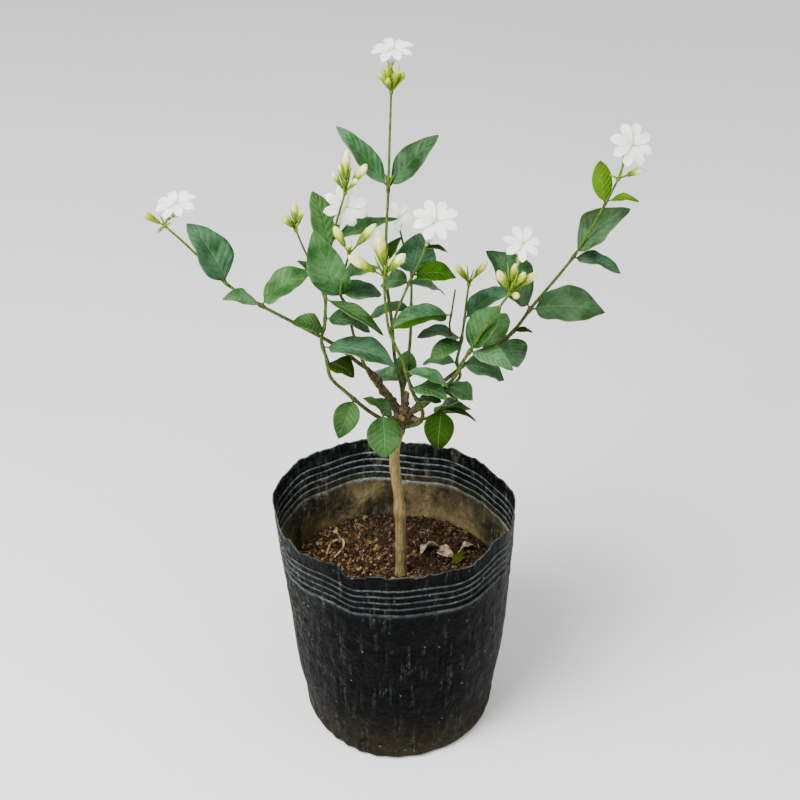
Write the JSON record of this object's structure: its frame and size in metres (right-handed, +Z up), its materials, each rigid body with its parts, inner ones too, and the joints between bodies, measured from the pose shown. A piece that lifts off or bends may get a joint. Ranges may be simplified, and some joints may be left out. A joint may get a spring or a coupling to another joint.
{
  "type": "potted arabian jasmine",
  "caption": "Young arabian jasmine with white flowers and yellow-green buds, on a bare woody trunk in a black polythene nursery bag of dark soil.",
  "frame": {"origin": "centre of the bag's base, on the ground", "axes": "+Z up along the trunk, -Y towards the front of the plant, +X to its right"},
  "size_m": [0.296, 0.1576, 0.4603],
  "materials": {
    "polythene": "dusty satin black film",
    "soil": "crumbly coir and compost",
    "bark": "fine streaked bark",
    "leaf": "satin green leaf",
    "bud": "waxy yellow-green to cream",
    "petal": "soft white petal",
    "litter": "dry brown leaf",
    "straw": "dry straw"
  },
  "bodies": {
    "root": {"grow_bag": "polythene", "potting_soil": "soil", "trunk": "bark", "dry_leaf_left": "litter", "dry_leaf_middle": "litter", "dry_leaf_right": "litter", "straw_loop": "straw", "green_sprig": "leaf", "leader": "leaf", "left_branch": "leaf", "left_upright": "leaf", "middle_shoot": "leaf", "front_cane": "leaf", "inner_shoot": "leaf", "right_cluster_shoot": "leaf", "right_branch": "leaf", "back_shoot": "leaf", "low_sprout_front": "leaf", "low_sprout_right": "leaf", "buds_top": "bud", "buds_far_left": "bud", "buds_left": "bud", "buds_upper": "bud", "buds_middle": "bud", "buds_front": "bud", "buds_inner": "bud", "buds_right": "bud", "buds_far_right": "bud", "bloom_top": "petal", "bloom_far_right": "petal", "bloom_inner_left": "petal", "bloom_middle": "petal", "bloom_right": "petal", "bloom_far_left": "petal", "bloom_behind": "petal"}
  },
  "joints": []
}
